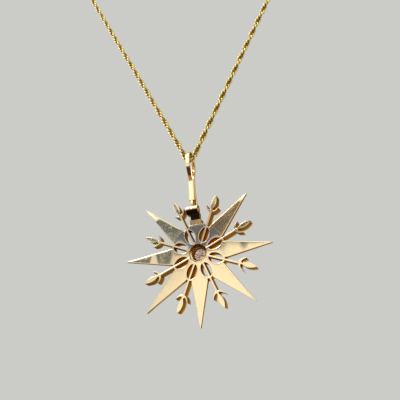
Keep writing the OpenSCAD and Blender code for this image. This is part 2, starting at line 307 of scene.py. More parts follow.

# %% [markdown]
# ## Gold of the star and the bail
# The gold is a pale yellow alloy. Where a file and a polishing stick reached it, it is smooth and
# full of fine scratches. The sawn side walls are rougher, and their deep orange brown is painted
# shade. The olive grey and brown of the upper rays are a painted dark reflection. Each region could
# have a material of its own, but then the borders would be hard. A value stored on each point of the
# mesh says where the walls and the painted reflection are, so the colours run softly into each other.

# %% Gold of the star and the bail
# Painted light: the dull and brown golds paint the upper rays' dark reflection, and the wall, deep and
# black colours paint shade on the walls, in the openings and under the hinge.
FACE_GOLD, DARK_REFLECTION_GOLD, BROWN_REFLECTION_GOLD = (0.95, 0.77, 0.46), (0.58, 0.52, 0.35), (0.58, 0.38, 0.20)
SHADED_WALL_GOLD, SHADED_DEEP_GOLD, SHADE_BLACK = (0.47, 0.27, 0.08), (0.40, 0.13, 0.02), (0.014, 0.008, 0.004)
ZONE_GREY, EDGE_TINT = (0.46, 0.42, 0.38), (0.70, 0.52, 0.30, 1)
zone_r = 5.7


def gold(name, rough):
    """Polished gold. The stored value wall goes from 0, polished, over 1, sawn wall in painted shade,
    and 1.5, deep red painted shade in the openings, to 2, black painted shade; the stored dark
    reflection and brown paint how grey or how brown a face's reflection is. Inside zone_r the upper
    rays are smoother and painted greyer, and a fine scribed arc ends that zone."""
    p = Finish(name)
    dark_reflection, brown, side = p.attribute("dark_reflection"), p.attribute("brown"), p.attribute("wall")
    deep, painted_shade = p.ramp(side, 1.0, 1.5), p.ramp(side, 1.5, 2.0)
    patchy = 0.7 + p.noise(420, 3.0, 0.6) * 0.5
    grain = p.noise(5000, 3.0, 0.6)
    r = p.radius(star_place * MM)
    upper = p.ramp(dark_reflection + brown, 0.75, 0.95)
    zone = p.ramp(r, (zone_r + 0.04) * MM, (zone_r - 0.02) * MM) * upper
    scribed = p.ramp(p.size(r - (zone_r + 0.02) * MM), 0.08 * MM, 0.03 * MM) * upper
    outside = 1 - zone * 0.8
    scratch = (p.lines(2700, 0.3, 0.025) + p.lines(3500, -0.6, 0.03) + p.lines(3100, 0.75, 0.02)
               + p.lines(2600, -1.35, 0.02)) * outside
    fleck = p.ramp(p.noise(3600), 0.58, 0.70) * outside * (0.2 + dark_reflection * 0.8 + brown * 0.6)
    colour = FACE_GOLD
    for share, next_colour in ((dark_reflection * patchy, DARK_REFLECTION_GOLD), (brown * patchy, BROWN_REFLECTION_GOLD),
                               (zone * 0.6, ZONE_GREY), (side, SHADED_WALL_GOLD), (deep, SHADED_DEEP_GOLD), (painted_shade, SHADE_BLACK)):
        colour = p.mix(share, colour, next_colour)
    roughness = rough + scratch * 0.10 * (0.4 + dark_reflection) + (grain - 0.5) * 0.06 + side * 0.12 + painted_shade * 0.25
    relief = grain * 0.3 - scratch * 0.5 - fleck * 1.5 - scribed * 1.5
    return p.surface({"Base Color": colour, "Metallic": 1.0, "Roughness": roughness,
                      "Specular Tint": EDGE_TINT, "Normal": p.bump(relief, 0.0000015, 0.6)})


star_gold, bail_gold = gold("star_gold", 0.09), gold("bail_gold", 0.15)
print("gold finishes:", star_gold.name, bail_gold.name)

# %% [markdown]
# ## Gold of the chain
# Light hardly reaches between the links of a rope, so the gold there looks nearly brown. Darker
# light alone could give this, but the links are far finer than a pixel, so the depth inside the rope
# is stored on its points and darkens the gold as well: painted shade.

# %% Gold of the chain and its clasp
# The gap brown is painted shade between the links.
LINK_GOLD, GAP_SHADE_BROWN = (0.62, 0.48, 0.15), (0.20, 0.13, 0.03)


def rope_gold(name):
    """Olive gold with painted shade, browner with the stored depth: share = soft step of depth
    from 0 to 0.6.
    """
    p = Finish(name)
    cloud = p.noise(900)
    return p.surface({"Base Color": p.mix(p.ramp(p.attribute("wall"), 0.0, 0.6), LINK_GOLD, GAP_SHADE_BROWN),
                      "Metallic": 1.0, "Roughness": 0.16 + cloud * 0.12,
                      "Normal": p.bump(cloud, 0.000004, 0.4)})


chain_gold = rope_gold("chain_gold")
print("chain finish:", chain_gold.name)

# %% [markdown]
# ## Diamond
# A diamond is clear, hard and bright at its edges, because light bends strongly in it. A white
# surface would look like glass paste, so the light really goes through, with the diamond's own
# index of 2.42. Its little colour, from lilac grey to brown, is a painted reflection.

# %% Diamond
def diamond_finish(name):
    """A clear shader of index 2.42, its colour drifting from lilac grey to brown."""
    p = Finish(name)
    # Painted reflection: the stone's colour drifts from lilac grey to brown.
    colour = p.mix(p.noise(700) * 0.6, (0.66, 0.57, 0.60), (0.56, 0.46, 0.36))
    return p.surface({"Base Color": colour, "Roughness": 0.06, "IOR": 2.42, "Transmission Weight": 1.0})


diamond = diamond_finish("diamond")
print("stone finish:", diamond.name)

# %% [markdown]
# ## The plate, ray by ray
# The star is one piece of thick plate, pierced by eight ovals. A saw follows the outline, then a
# file rounds the edges. A flat outline could be pushed back and bevelled, but a bevel breaks where
# the openings nearly meet. One slab function is enough for all of it: two edge lines, a reverse
# and a front height, and a rounded corner along each edge.

# %% A slab with filed edges
corner_steps = 5
corner_turn = np.linspace(0, np.pi / 2, corner_steps + 1)
corner_inset, corner_drop = 1 - np.cos(corner_turn), 1 - np.sin(corner_turn)
corner_share, corner_deep, deepest_corner, edge_gap = 0.46, 0.7, 0.12, 0.04


def slab(left, right, into_left, into_right, back, front, soft, crown=0.0, columns=6, spread=(0, 0),
         ridge=0.0):
    """A solid between two edge lines. Along each edge a quarter ellipse runs from the wall to the
    face, w wide and d = 0.7 w deep but never above d = 0.12: inset = w (1 - cos a),
    depth = d (1 - sin a). soft holds w for the left and the right edge. The reverse face swells
    by crown between them: swell = crown (1 - (2 c - 1)^2). The front rises to a ridge midway:
    rise = ridge (1 - |2 c - 1|). The rows between the two of spread lie evenly along the ray
    inside the corners, so that none folds over where an edge turns back."""
    rows = len(left)
    row = np.arange(rows)
    inside = (row > spread[0]) & (row < spread[1])
    width = np.linalg.norm(right - left, axis=1)
    w_left, w_right = (np.minimum(np.broadcast_to(w, rows), corner_share * width)[:, None] for w in soft)
    back, front, ridge = (np.broadcast_to(h, rows)[:, None] for h in (back, front, ridge))
    parts = []

    def corner(edge, inward, w, level, sign, order):
        flat = edge[:, None] + inward[:, None] * (w * corner_inset)[..., None]
        z = level + sign * np.minimum(corner_deep * w, deepest_corner) * corner_drop
        parts.append(np.concatenate([flat, z[..., None]], -1)[:, order])

    def face(a, b, level, sign):
        near = np.minimum(edge_gap / np.maximum(np.linalg.norm(b - a, axis=1), 0.2), 0.2)[:, None]
        c = near + (1 - 2 * near) * np.linspace(0, 1, columns)
        flat = a[:, None] + (b - a)[:, None] * c[..., None]
        y = (a[:, 1] + b[:, 1]) / 2
        even = np.interp(row, spread, y[list(spread)])
        flat[..., 1] += np.where(inside, even - y, 0.0)[:, None]
        z = level - sign * crown * (1 - (2 * c - 1) ** 2) * np.minimum(1, width / 2)[:, None]
        z = z + (sign < 0) * ridge * (1 - np.abs(2 * c - 1))
        parts.append(np.concatenate([flat, z[..., None]], -1))

    inner_left, inner_right = left + into_left * w_left, right + into_right * w_right
    flip = slice(None, None, -1)
    corner(left, into_left, w_left, back, 1, slice(None))
    face(inner_left, inner_right, back, 1)
    corner(right, into_right, w_right, back, 1, flip)
    corner(right, into_right, w_right, front, -1, slice(None))
    face(inner_right, inner_left, front, -1)
    corner(left, into_left, w_left, front, -1, flip)
    return shell(np.concatenate(parts, 1))


print("one filed corner has", len(corner_turn), "points")

# %% [markdown]
# ### The outline of a spear
# Eight spears, cut along the middle lines of the ovals, meet under the stems of the bud rays and
# cover the whole plate. Half of an oval bites into each side of a spear. The outline could be
# traced by eye, but as arcs and straight lines it can be filed wider or narrower afterwards.

# %% Edge line of a spear
spear_reach, spear_shoulder, spear_half_w = 15.0, 5.77, 1.63
oval_near, oval_far, oval_half_w, oval_rim = 2.25, 5.35, 1.02, 0.32
ray_step, plate_from, soft_rim = 45.0, 1.82, 0.12
inner_rows, outer_rows, widen_rows, rim_meets = 26, 5, 4, np.radians(155.5)
notch_steps, notch_into = [[0.0, 0.01], [0.0, 0.03]], np.array([[-0.7, -0.7], [-1.0, 0.08]])
oval_mid, oval_half_l = (oval_near + oval_far) / 2, (oval_far - oval_near) / 2
middle_line = np.array([math.sin(math.radians(ray_step / 2)), math.cos(math.radians(ray_step / 2))])
toward_ray = np.array([-middle_line[1], middle_line[0]])


def unit(v):
    """Each direction of v divided by its own length."""
    return v / np.linalg.norm(v, axis=-1, keepdims=True)


def across(line, side):
    """Directions square to a line of plane points, into the metal: side is 1 for a left edge."""
    t = unit(np.gradient(line, axis=0))
    return side * np.stack([t[:, 1], -t[:, 0]], -1)


def oval_edge(turn, grow):
    """Points and outward directions of an oval round the middle line: mid - (half length) cos a
    along the line and (half width) sin a toward the ray."""
    a, b = oval_half_l + grow, oval_half_w + grow
    point = np.outer(oval_mid - a * np.cos(turn), middle_line) + np.outer(b * np.sin(turn), toward_ray)
    out = unit(np.outer(-np.cos(turn) / a, middle_line) + np.outer(np.sin(turn) / b, toward_ray))
    return point, out


def spear_edge(point_xy, side_soft, rows):
    """The right edge of a spear from the collet round half an oval to its point, the direction
    into the metal at each place, and how wide its corner is filed. The outer rim of the oval is
    the same oval grown by oval_rim; two short steps turn from it into the straight side."""
    inner, inner_out = oval_edge(np.linspace(0, np.pi, inner_rows), 0.0)
    outer, outer_out = oval_edge(np.linspace(np.pi, rim_meets, outer_rows), oval_rim)
    shoulder = np.array([[spear_half_w, spear_shoulder]])
    side = shoulder + np.linspace(0, 1, rows)[:, None] * (point_xy - shoulder)
    notch = outer[-1:] + notch_steps
    line = np.concatenate([plate_from * middle_line[None], inner, outer, notch, side])
    into_side = np.broadcast_to(across(side, -1)[-1], side.shape)
    into = np.concatenate([toward_ray[None], inner_out, -outer_out, unit(notch_into), into_side])
    soft = np.concatenate([[0.0], np.full(inner_rows + outer_rows + len(notch), soft_rim),
                           np.interp(np.arange(rows), [0, widen_rows], [soft_rim, side_soft])])
    return line, into, soft


print("oval from", oval_near, "to", oval_far, "mm, rim", oval_rim, "mm")

# %% [markdown]
# ### From an upright ray to its place
# Each ray is drawn upright and then turned about the star's centre, so one drawing serves all of
# them. Its inner end has to go round the collet. The collet could be cut out of it, but a cut
# leaves ragged faces. Bending the first rows of the sheet round it keeps them whole.

# %% Turning and hollowing a ray
hollow_to, hollow_soft = 2.05, 0.38


def turned(points, degrees):
    """Points of the star's plane turned about its centre."""
    a = np.radians(degrees)
    x, y = points[..., 0], points[..., 1]
    out = points.copy()
    out[..., 0], out[..., 1] = x * np.cos(a) - y * np.sin(a), x * np.sin(a) + y * np.cos(a)
    return out


def hollowed(points):
    """The inner end of a spear bent round the collet: near the centre y rises to
    sqrt(plate_from^2 - x^2)."""
    rise = np.sqrt(np.maximum(plate_from ** 2 - points[:, 0] ** 2, 1.0)) - plate_from * middle_line[1]
    points[:, 1] += rise * np.clip((hollow_to - points[:, 1]) / hollow_soft, 0, 1)
    return points


print("5 mm up, turned by 45 degrees:", turned(np.array([0.0, 5.0]), ray_step).round(2))

# %% [markdown]
# ### Long spears
# Seven long spears differ a little in reach and angle, as hand work does. Their front is a ridge
# that slopes to the point, so that the edges are thin. The mirror-like reverse shows every
# unevenness: where the file leaned, the reflection jumps. That could be painted on, but it would
# not move with the view, so two rays are really twisted by a degree or two.

# %% Long spears
spear_more = [0, 0.4, 0.3, 0.25, -0.6, 0, -0.3, 0]
spear_turn = [0, 0, -1.4, -1.8, -1.3, 0, 0, 0.2]
tip_depth, edge_depth, tip_half = 0.8, 0.9, 0.03
oval_end_rows, side_rows, spear_swell = (22, 31), 34, 0.006
facet_at = [11, 11.6, 14.0, 11.4, 11.8, 12.2, 9.6, 13.1]
facet_fall = [0, 0.07, 0.0, 0.03, 0.02, 0.02, 0.03, 0.09]
filed_right = [0.12, 0.28, 0.25, 0.18, 0.40, 0.12, 0.12, 0.12]
filed_left = [0.12, 0.10, 0.10, 0.40, 0.22, 0.18, 0.16, 0.14]
twist_r = [5.4, 6.0, 8.5, 8.9, 9.7, 10.1, 15]
untwisted = [0] * len(twist_r)
twist = {2: [0, 0.03, 0.03, -0.03, -0.03, 0.035, 0.045],
         6: [0, 0.012, 0.012, -0.008, -0.008, 0.012, 0.012]}


def spear(k):
    """One long spear, counted from the top and turning left. Its front is a ridge that slopes to
    the point, with thin edges on both sides. Beyond facet_at its reverse is filed away toward the
    point, and where the file leaned the reverse has a twist: rise = twist x."""
    reach, turn = spear_reach + spear_more[k], np.radians(spear_turn[k])
    point = reach * np.array([-np.sin(turn), np.cos(turn)])
    right, into_right, soft_right = spear_edge(point + [tip_half, 0], filed_right[k], side_rows)
    left, into_left, soft_left = spear_edge(point * [-1, 1] + [tip_half, 0], filed_left[k], side_rows)
    left, into_left = left * [-1, 1], into_left * [-1, 1]
    r = (left[:, 1] + right[:, 1]) / 2
    fall = facet_fall[k] * np.maximum(0, r - facet_at[k])
    slope = np.clip((r - spear_shoulder) / (reach - spear_shoulder), 0, 1)
    top = half_depth - slope * (2 * half_depth - tip_depth)
    edge = np.interp(r, [oval_far, spear_shoulder, reach],
                     [half_depth, edge_depth - half_depth, tip_depth - half_depth])
    points, faces = slab(left, right, into_left, into_right, -half_depth + fall, edge,
                         (soft_left, soft_right), crown=spear_swell, columns=7, spread=oval_end_rows,
                         ridge=top - edge)
    lean = np.interp(points[:, 1], twist_r, twist.get(k, untwisted)) * points[:, 0]
    points[:, 2] += lean * (points[:, 2] < -half_depth / 2)
    return stood(turned(hollowed(points), k * ray_step)), faces


long_spears = [spear(k) for k in range(1, 8)]
print(len(long_spears), "long spears of", len(long_spears[0][0]), "points each")

# %% [markdown]
# ### The short top ray
# The top ray is cut short for the hinge. Its full-thickness part ends in an arc; past the arc a
# thinner, narrower tab carries on to the hinge. It could be cut from a ninth spear, but bending
# the last rows of the sheet into the arc keeps the rounded edge whole.

# %% The short top ray and the star's plate
arc_r, tab_drop, tab_end = 6.1, 0.32, 7.0
bow_from, bow_over, arc_round, round_share = 5.2, 0.6, 0.1, 0.4
tab_from, tab_left, tab_right, tab_right_end = 5.0, 1.46, 1.25, 0.86
tab_sunk, tab_soft = 0.03, (0.06, 0.06)


def top_ray():
    """The short ray: its rows stop at an arc round the star's centre, rounded over, and a tab
    starts under the arc. bow = arc_r - sqrt(arc_r^2 - x^2) bends the rows near the arc."""
    tip = np.array([0.0, spear_reach])
    right, into_right, _ = spear_edge(tip, soft_rim, 2)
    keep = len(right) - 2
    share = (arc_r - spear_shoulder) / (spear_reach - spear_shoulder)
    steps = np.concatenate([np.linspace(0, 1 - round_share, 4), 1 - round_share * np.cos(corner_turn[1:])])
    side = right[keep] + share * steps[:, None] * (tip - right[keep])
    right = np.concatenate([right[:keep], side])
    into_right = np.concatenate([into_right[:keep], np.broadcast_to(into_right[-1], side.shape)])
    back = np.full(len(right), -half_depth)
    back[-corner_steps:] += arc_round * corner_inset[1:]
    points, faces = slab(right * [-1, 1], right, into_right * [-1, 1], into_right, back, half_depth,
                         (soft_rim, soft_rim), spread=oval_end_rows)
    blend = np.clip((points[:, 1] - bow_from) / bow_over, 0, 1)
    points[:, 1] -= blend * (arc_r - np.sqrt(arc_r ** 2 - points[:, 0] ** 2))
    return stood(hollowed(points)), faces


def top_tab():
    """The thinner tab between the arc and the hinge, cut narrower on one side."""
    y = np.linspace(tab_from, tab_end, 9)
    left = np.stack([np.full(len(y), -tab_left), y], -1)
    right = np.stack([np.interp(y, [tab_from, tab_end], [tab_right, tab_right_end]), y], -1)
    into = np.broadcast_to([1.0, 0.0], left.shape)
    back, front = -half_depth + tab_drop, half_depth - tab_sunk
    points, faces = slab(left, right, into, -into, back, front, tab_soft)
    return stood(points), faces


plate_piece = make_piece("spear_rays", long_spears + [top_ray(), top_tab()], star_gold, "star_body", "star")

# %% [markdown]
# ## Bud rays
# Between the spears stand eight thin stems, each with two curled barbs and a leaf-shaped bud, cut
# from the full depth of the plate. A wire could be bent to the same line, but it would be round.
# So they are slabs too: the stem and bud share one width that changes along the ray, and a barb
# is a band that follows a curve.

# %% Stems, buds and barbs
bud_reach, bud_foot, bud_half_w, stem_half = 12.1, 9.2, 0.5, 0.18
bud_more = [0.15, -0.15, 0.2, 0, 0, 0, -0.15, 0]
bud_turn = [-0.4, -1.2, -0.7, -0.8, 0, 1.4, 1.5, 1.2]
barb_foot, barb_side, barb_reach, barb_half, barb_tip = 8.7, 1.25, 9.75, 0.23, 0.03
swell_more, swell_at, swell_len = 0.10, 0.35, 0.22
leaf_least, tip_least, stem_soft, leaf_soft = 0.12, 0.02, 0.155, 0.34
proud, barb_soft = 0.03, (0.08, 0.08)


def bud_width(r, foot, reach):
    """Half the width along a bud ray: an even stem with a bell-shaped swelling at the barbs, then
    a leaf: half width = bud (sin(180 t^0.85))^0.75, with t from its foot to its tip."""
    t = np.clip((r - foot) / (reach - foot), 0, 1)
    leaf = bud_half_w * np.sin(np.pi * t ** 0.85).clip(0) ** 0.75
    swell = swell_more * np.exp(-((r - foot + swell_at) / swell_len) ** 2)
    return np.where(r < foot, stem_half + swell, np.maximum(leaf, np.where(t < 0.5, leaf_least, tip_least)))


def bud_ray(k):
    """The three shells of one bud ray, turned into its place. Its rows lie closer from the swelling
    on and closest at the tip. A barb's middle line is x = side (1.3 t - 0.3 t^2),
    y = foot + (reach - foot) t^2."""
    foot, reach = bud_foot + bud_more[k] / 2, bud_reach + bud_more[k]
    r = np.concatenate([np.linspace(plate_from + 0.02, foot - 0.9, 10), np.linspace(foot - 0.8, foot, 10),
                        foot + (reach - foot) * (1 - np.cos(np.linspace(0.15, np.pi, 22))) / 2])
    half = bud_width(r, foot, reach)
    right = np.stack([half, r], -1)
    into = np.broadcast_to([-1.0, 0.0], right.shape)
    soft = np.where(r < foot, stem_soft, leaf_soft * half)
    shells = [slab(right * [-1, 1], right, into * [-1, 1], into, -half_depth - proud, half_depth + proud,
                   (soft, soft), columns=4)]
    t = np.linspace(0, 1, 16)
    middle = np.stack([barb_side * (1.3 * t - 0.3 * t * t),
                       barb_foot + bud_more[k] / 2 + (barb_reach - barb_foot) * t * t], -1)
    side = across(middle, 1)
    half = (barb_half + (barb_tip - barb_half) * t)[:, None]
    for m in ([1, 1], [-1, 1]):
        shells.append(slab((middle - side * half) * m, (middle + side * half) * m, side * m, -side * m,
                           -half_depth - proud / 2, half_depth + proud / 2, barb_soft, columns=2))
    turn = (k + 0.5) * ray_step + bud_turn[k]
    return [(stood(turned(p, turn)), f) for p, f in shells]


bud_shells = [s for k in range(8) for s in bud_ray(k)]
buds_piece = make_piece("bud_rays", bud_shells, star_gold, "star_body", "star")

# %% [markdown]
# ## Things that are turned
# Collet, knuckles, pin and caps are all turned on a lathe. The Spin tool carries an outline round
# an axis in the same way, by hand. As an array it takes one formula, and the corners of a profile
# can be rounded before it is carried round.

# %% Profiles carried round an axis
def turned_shape(profile, sides):
    """A closed profile of (r, h) points carried round the height axis: (r cos a, r sin a, h)."""
    a = np.linspace(0, 2 * np.pi, sides, endpoint=False)
    ring = np.stack([np.cos(a), np.sin(a)], -1)
    flat = profile[None, :, :1] * ring[:, None]
    height = np.broadcast_to(profile[None, :, 1:], (sides, len(profile), 1))
    sheet = np.concatenate([flat, height], -1)
    return sheet.reshape(-1, 3), sheet_faces(sides, len(profile), round_rows=True).tolist()


def rod(radius, height, sides):
    """A turned solid with no bore: a circle of a radius at each height, and two lids."""
    a = np.linspace(0, 2 * np.pi, sides, endpoint=False)
    return shell(np.stack([np.outer(radius, np.cos(a)), np.outer(radius, np.sin(a)),
                           np.repeat(np.asarray(height)[:, None], sides, 1)], -1))


def rounded(profile, reach, steps=4):
    """A closed profile with each corner cut back by reach and bridged by a curve through
    p = (1 - t)^2 a + 2 t (1 - t) corner + t^2 b."""
    profile = np.asarray(profile, float)
    before, after = np.roll(profile, 1, 0) - profile, np.roll(profile, -1, 0) - profile
    a, b = (profile + v * np.minimum(0.45, reach / np.linalg.norm(v, axis=1))[:, None]
            for v in (before, after))
    t = np.linspace(0, 1, steps + 1)[None, :, None]
    curve = (1 - t) ** 2 * a[:, None] + 2 * t * (1 - t) * profile[:, None] + t ** 2 * b[:, None]
    return curve.reshape(-1, 2)


print("a square with rounded corners has", len(rounded([[0, 0], [1, 0], [1, 1], [0, 1]], 0.1)), "points")

# %% [markdown]
# ## Collet
# A collet is a short tube that holds one stone: open at the back so that light reaches the stone,
# with a seat inside and a thin rim pushed over the stone's edge. Tubes cut out of each other would
# give it too, with a ragged mesh. A turned profile needs only fourteen corners.

# %% The collet
collet_r, bezel_h, stone_r = 2.1, 0.4, 1.5
girdle_z, seat_r, bezel_top = half_depth - 0.18, stone_r - 0.18, half_depth + bezel_h
lip_r, lip_z, back_rim_r = 1.36, -half_depth + 0.24, 1.66
back_z, groove_z = -half_depth - 0.012, -half_depth + 0.2
collet_profile = rounded([
    [back_rim_r, back_z], [back_rim_r, groove_z], [collet_r, groove_z], [collet_r, bezel_top - 0.1],
    [collet_r - 0.2, bezel_top], [stone_r - 0.1, bezel_top], [stone_r + 0.02, girdle_z + 0.36],
    [stone_r + 0.02, girdle_z - 0.02], [seat_r, girdle_z - 0.2], [seat_r, girdle_z - 0.4],
    [lip_r + 0.06, lip_z + 0.14], [lip_r, lip_z + 0.08], [lip_r, lip_z], [back_rim_r - 0.05, back_z]], 0.05)
points, faces = turned_shape(collet_profile, 72)
collet_piece = make_piece("collet", [(stood(points), faces)], star_gold, "star_body", "star")

# %% [markdown]
# ## Hinge
# Three knuckles share one pin: the outer two belong to the star and the middle one to the bail.
# The outer ones stand on a yoke across the end of the short ray. A knuckle is turned like the
# collet. The yoke is filed from bar, so it is a profile carried straight, with rounded ends.

# %% Knuckles and yoke
knuckle_r, barrel_len, middle_len, bore_r = 0.95, 2.1, 0.66, 0.3
knuckle_gap, knuckle_more = 0.05, 0.15


def knuckle(length, at, bore):
    """A short tube with rounded rims, lying along X at a distance from the pin's middle."""
    points, faces = turned_shape(rounded([[bore, -length / 2], [knuckle_r, -length / 2],
                                          [knuckle_r, length / 2], [bore, length / 2]], 0.1), 40)
    return points[:, [2, 0, 1]] + [at, 0, 0] + pin_place, faces


def prism(profile, x0, x1, soft=0.08):
    """A bar along X with a (back, up) profile given from the pin: corners rounded by soft, and its
    ends drawn in toward the middle by soft (1 - sin a)."""
    rim = rounded(profile, soft)
    inward = unit(rim.mean(0) - rim)
    x = np.concatenate([x0 + soft * corner_inset, x1 - soft * corner_inset[::-1]])
    draw = soft * np.concatenate([corner_drop, corner_drop[::-1]])[:, None, None]
    long_way = np.broadcast_to(x[:, None, None], (len(x), len(rim), 1))
    points, faces = shell(np.concatenate([long_way, rim + inward * draw], -1))
    return points + pin_place, faces


def block(y0, y1, z0, z1):
    """Corners of an upright rectangle as a profile."""
    return [[y0, z0], [y1, z0], [y1, z1], [y0, z1]]


outer_len = (barrel_len - middle_len) / 2 - knuckle_gap + knuckle_more
outer_at = (barrel_len - outer_len) / 2 + knuckle_more
ray_top = tab_end - pin_height
yoke = [[-0.5, -0.78], [0.72, -0.72], [0.85, ray_top - 0.5], [0.0, ray_top - 0.5], [-0.1, ray_top + 0.1]]
yoke_from, yoke_to, arm_from, arm_to = -0.5, 1.42, -1.1, -0.42
arm = block(-0.55, 0.72, -knuckle_r - 0.12, -0.5)
star_hinge = [knuckle(outer_len, -outer_at, bore_r), knuckle(outer_len, outer_at, bore_r),
              prism(yoke, yoke_from, yoke_to), prism(arm, arm_from, arm_to)]
hinge_piece = make_piece("star_knuckles", star_hinge, star_gold, "star_body", "star")

# %% [markdown]
# The pin is a plain rod, and a jeweller hammers its ends over, so that it can't slide out. A
# cylinder with a bevel would look the same. The rod helper makes it from a radius at each height
# instead, and the same helper turns the caps of the clasp later.

# %% The pin
pin_r, pin_proud, dome, dome_eye = 0.296, 0.04, 0.08, 0.002
half_pin = barrel_len / 2 + knuckle_more + pin_proud
pin_radius = dome_eye + (pin_r - dome_eye) * np.r_[np.sin(corner_turn), np.cos(corner_turn)]
pin_along = np.r_[-half_pin + dome * corner_inset, half_pin - dome * corner_drop]
points, faces = rod(pin_radius, pin_along, 24)
pin_piece = make_piece("pin", [(points[:, [2, 0, 1]] + pin_place, faces)], bail_gold, "star_body",
                       "hinge_pin")

# %% [markdown]
# ## The stone
# A round brilliant has a table, eight star facets, eight kites and sixteen small facets above its
# girdle, and sixteen more and eight long kites that meet in a point below. It is cut, not round,
# so a turned shape would be wrong: its corners are listed ring by ring and its faces stay flat.

# %% Round brilliant
table_r, girdle_r, girdle_t = 0.57 * stone_r, 0.985 * stone_r, 0.1
crown_h, pavilion_h = 0.15 * 2 * stone_r, 0.43 * 2 * stone_r
kite_r, kite_h, lower_r, lower_h = 0.80 * stone_r, 0.52 * crown_h, 0.30 * stone_r, 0.76 * pavilion_h


def ring(radius, height, count, start):
    """Points on a circle: radius (cos a, sin a) at one height."""
    a = 2 * np.pi * (np.arange(count) + start) / count
    return np.stack([radius * np.cos(a), radius * np.sin(a), np.full(count, height)], -1)


def brilliant():
    """Rings of 8, 8, 16, 16 and 8 corners from the table to the lower facets, and the culet."""
    points = np.concatenate([
        ring(table_r, crown_h, 8, 0.0), ring(kite_r, kite_h, 8, 0.5), ring(girdle_r, 0.0, 16, 0.0),
        ring(girdle_r, -girdle_t, 16, 0.0), ring(lower_r, -girdle_t - lower_h, 8, 0.5),
        [[0, 0, -girdle_t - pavilion_h]]])
    table, kite, girdle, under, lower, culet = 0, 8, 16, 32, 48, 56
    faces = [list(range(8))]
    for i in range(8):
        n = (i + 1) % 8
        upper_a, upper_b, upper_c = (girdle + j % 16 for j in (2 * i, 2 * i + 1, 2 * i + 2))
        under_a, under_b, under_c = (under + j % 16 for j in (2 * i, 2 * i + 1, 2 * i + 2))
        faces += [[table + i, table + n, kite + i], [table + i, kite + i, upper_a, kite + (i - 1) % 8],
                  [kite + i, upper_b, upper_a], [kite + i, upper_c, upper_b],
                  [upper_a, upper_b, under_b, under_a], [upper_b, upper_c, under_c, under_b],
                  [lower + i, under_b, under_a], [lower + i, under_c, under_b],
                  [culet, lower + i, under_a, lower + (i - 1) % 8]]
    return points, faces


points, faces = brilliant()
make_piece("centre_stone", [(stood(points + [0, 0, girdle_z + girdle_t]), faces)], diamond, "star_body",
           "centre_diamond", sharp=1)

# %% [markdown]
# ## Bail
# The bail is one strip of half-round wire. It rises from its butt end, opens into a drop-shaped
# loop round the chain, closes again at the waist, and its far arm runs down behind the hinge. Its
# line could be a hand-drawn curve. A few straight lines and one arc, softened, give the same line
# with sizes that can be read: the arc lies a known gap above the chain.

# %% The bail's line
chain_height = float(chain_place[2] - pin_place[2])
arch_gap, arch_r, strip_t, waist_h = 0.82, 1.65, 0.45, 6.9
butt_h, part_h, loop_side_h, far_out = 2.05, 5.4, 9.0, 1.3
arch_mid = chain_height + arch_gap - arch_r
line_step, line_soft = 0.05, 20


def along(line, spacing):
    """A line of points placed evenly along a broken line."""
    step = np.r_[0, np.cumsum(np.linalg.norm(np.diff(line, axis=0), axis=1))]
    s = np.linspace(0, step[-1], int(step[-1] / spacing))
    return np.stack([np.interp(s, step, line[:, i]) for i in range(line.shape[1])], -1)


def softened(line, window):
    """A line whose corners are rounded: each point is the mean of its neighbours, ends held."""
    pad = np.concatenate([2 * line[:1] - line[window:0:-1], line, 2 * line[-1:] - line[-2:-window - 2:-1]])
    kernel = np.hanning(2 * window + 1)
    kernel = kernel / kernel.sum()
    return np.stack([np.convolve(pad[:, i], kernel, "valid") for i in range(line.shape[1])], -1)


def bail_line():
    """Middle line of the strip as (back, up) from the pin: up the near arm, out round the loop, down
    the far arm."""
    r, a = arch_r + strip_t / 2, np.linspace(math.pi, 0, 40)
    arch = np.stack([r * np.cos(a), arch_mid + r * np.sin(a)], -1)
    near = np.array([[-0.08, waist_h - 1.7], [-0.08, waist_h - 0.5], [-r, loop_side_h]])
    far = np.array([[r, loop_side_h + 0.6], [0.45, waist_h - 0.3], [0.4, part_h - 1], [far_out, butt_h],
                    [far_out, knuckle_r], [knuckle_r - strip_t / 2, 0.3], [knuckle_r - strip_t / 2, 0.0]])
    return softened(along(np.concatenate([near, arch, far]), line_step), line_soft)


middle_of_strip = bail_line()
strip_len = np.linalg.norm(np.diff(middle_of_strip, axis=0), axis=1).sum()
print("the strip is", round(float(strip_len), 1), "mm long, in", len(middle_of_strip), "rows")

# %% [markdown]
# The strip is wide on its far arm, narrow over the chain and crowned on its outside only. A curve
# with a bevel has one even section, so a section of points is carried along the line by hand, and
# its width follows the height.

# %% A strip carried along the line
waist_w, loop_w, arch_w, far_arm_w = 0.75, 0.80, 0.85, 1.25
strip_crown, strip_flat, loop_off = 0.05, 0.92, 0.08


def strip(line, width, thickness, crown):
    """A closed strip: across it runs a profile that is flat inside and crowned outside,
    bulge = crown (1 - x^2), with corners like those of the power curve x^4.4 + y^4.4 = 1."""
    t = unit(np.gradient(line, axis=0))
    out = np.stack([-t[:, 1], t[:, 0]], -1)
    u = np.linspace(0, 2 * np.pi, 28, endpoint=False)
    x, y = (np.sign(w) * np.abs(w) ** 0.45 for w in (np.cos(u), np.sin(u)))
    bulge = np.where(y > 0, y + crown / thickness * (1 - x ** 2) * y, y)
    yz = line[:, None] + out[:, None] * (bulge * thickness / 2)[None, :, None]
    return shell(np.concatenate([(x * width[:, None] / 2)[..., None], yz], -1))


